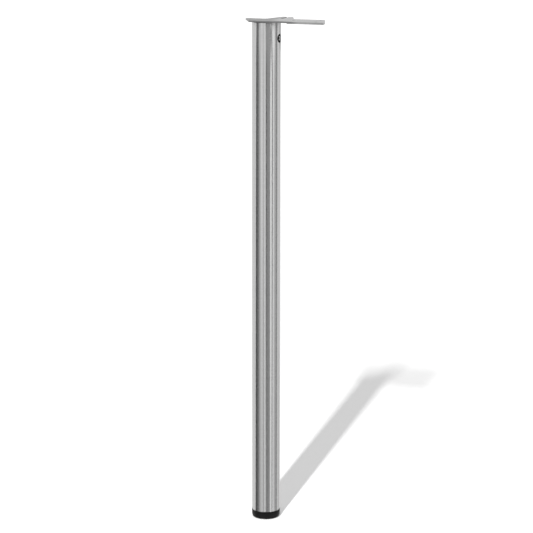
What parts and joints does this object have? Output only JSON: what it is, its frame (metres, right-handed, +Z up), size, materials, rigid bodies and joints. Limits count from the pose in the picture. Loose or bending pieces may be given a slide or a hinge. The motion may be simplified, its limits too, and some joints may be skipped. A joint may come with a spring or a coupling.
{
  "type": "height adjustable table leg",
  "caption": "Tall round steel table leg with a flat screw-on mounting plate on top, a key hole for the grub screw that locks it, and a screw-out plastic levelling foot.",
  "frame": {"origin": "on the tube's axis, at the foot's underside, with the foot screwed fully in", "axes": "+Z up along the tube to the mounting plate, +X along the plate's long arm, +Y along the plate's side arm"},
  "size_m": [0.1853, 0.109, 1.07],
  "materials": {
    "tube_steel": "brushed round the tube, nickel grey",
    "plate_steel": "satin zinc-nickel plating",
    "socket_metal": "plain cast, coated black",
    "screw_steel": "zinc plated",
    "nut_steel": "zinc plated",
    "spindle_steel": "zinc plated thread",
    "plug_plastic": "moulded black",
    "foot_plastic": "moulded black"
  },
  "bodies": {
    "leg": {"mounting_plate": "plate_steel", "tube_socket": "socket_metal", "leg_tube": "tube_steel", "foot_plug": "plug_plastic", "spindle_nut": "nut_steel"},
    "lock": {"locking_screw": "screw_steel"},
    "spindle": {"foot_spindle": "spindle_steel"},
    "foot": {"foot_glide": "foot_plastic"}
  },
  "joints": [
    {"name": "foot_height", "type": "slide", "parent": "leg", "child": "spindle", "axis": [0, 0, -1], "range_m": [0, 0.03]},
    {"name": "foot_turn", "type": "hinge", "parent": "spindle", "child": "foot", "pos_m": [0, 0, 0], "axis": [0, 0, -1], "range_deg": [0, 7200]},
    {"name": "lock_travel", "type": "slide", "parent": "leg", "child": "lock", "axis": [0.9962, -0.0872, 0], "range_m": [0, 0.005]}
  ],
  "couplings": [
    {"joint": "foot_height", "follows": "foot_turn", "m_per_rad": 0.00023873}
  ]
}
